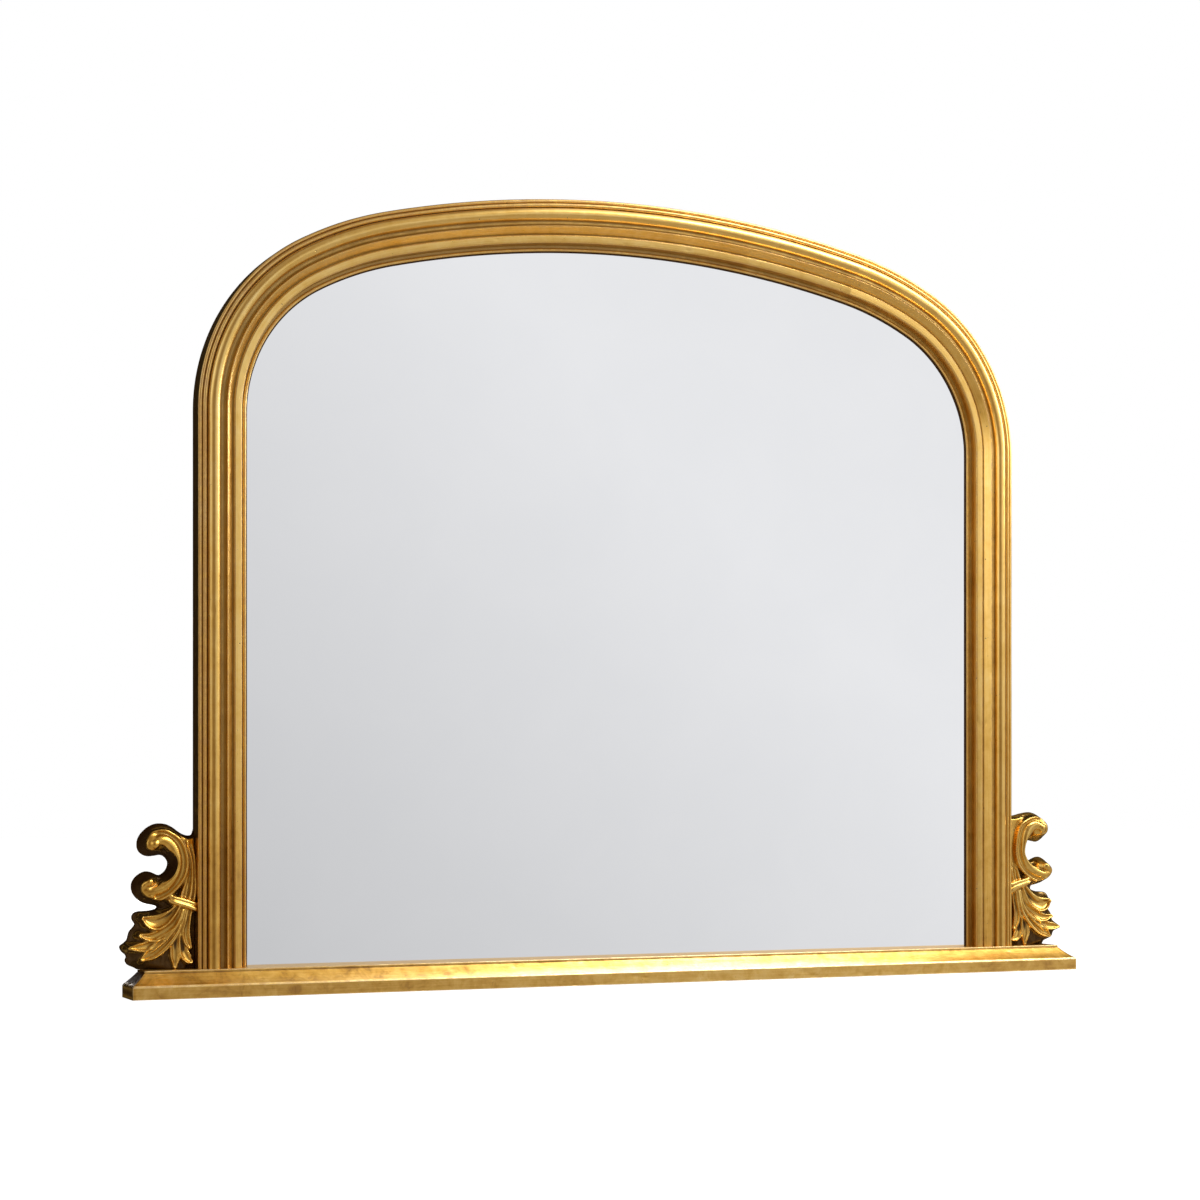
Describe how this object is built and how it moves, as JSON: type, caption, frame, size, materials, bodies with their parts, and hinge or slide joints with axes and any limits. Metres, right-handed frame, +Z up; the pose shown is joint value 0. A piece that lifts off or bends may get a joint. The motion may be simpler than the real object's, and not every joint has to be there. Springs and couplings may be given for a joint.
{
  "type": "overmantel mirror",
  "caption": "Arched gilt overmantel mirror on a moulded plinth, with carved scroll and leaf ornaments at the foot of each stile and D-ring hangers behind.",
  "frame": {"origin": "centre of the plinth's underside, where the mirror stands on the mantel shelf", "axes": "+Z up, the front faces -Y, +X to the right seen from the front; the frame's back is the plane y = +27 mm"},
  "size_m": [1.278, 0.0594, 0.9699],
  "materials": {
    "gilt_moulding": "antique gold leaf over red clay, rubbed and toned",
    "gilt_ornament": "cast plaster composition, antique gold leaf with dark toned recesses",
    "plinth_wood": "bare softwood, gilded where it shows on top",
    "dowel_wood": "bare beech",
    "zinc_steel": "zinc plated steel",
    "mirror_glass": "silvered float glass, plain edge",
    "backing_board": "brown hardboard",
    "black_rubber": "matt black rubber",
    "brown_rubber": "matt dark rubber",
    "brass_plate": "brass plated steel strip",
    "brass_wire": "brass plated steel wire"
  },
  "bodies": {
    "frame": {"left_stile": "gilt_moulding", "right_stile": "gilt_moulding", "left_haunch": "gilt_moulding", "right_haunch": "gilt_moulding", "left_shoulder": "gilt_moulding", "right_shoulder": "gilt_moulding", "crown": "gilt_moulding", "arch_dowels": "dowel_wood", "plinth_core": "plinth_wood", "plinth_front_moulding": "gilt_moulding", "left_plinth_return": "gilt_moulding", "right_plinth_return": "gilt_moulding", "plinth_screws": "zinc_steel", "mirror_glass": "mirror_glass", "backing_board": "backing_board", "setting_blocks": "black_rubber", "glazing_points": "zinc_steel", "left_ornament": "gilt_ornament", "right_ornament": "gilt_ornament", "ornament_dowels": "dowel_wood", "left_hanger_strap": "brass_plate", "right_hanger_strap": "brass_plate", "hanger_screws": "zinc_steel", "wall_bumpers": "brown_rubber"},
    "left_ring": {"left_hanger_ring": "brass_wire"},
    "right_ring": {"right_hanger_ring": "brass_wire"}
  },
  "joints": [
    {"name": "left_ring_hinge", "type": "hinge", "parent": "frame", "child": "left_ring", "pos_m": [-0.526, 0.0296, 0.61], "axis": [1, 0, 0], "range_deg": [0, 180]},
    {"name": "right_ring_hinge", "type": "hinge", "parent": "frame", "child": "right_ring", "pos_m": [0.526, 0.0296, 0.61], "axis": [1, 0, 0], "range_deg": [0, 180]}
  ]
}
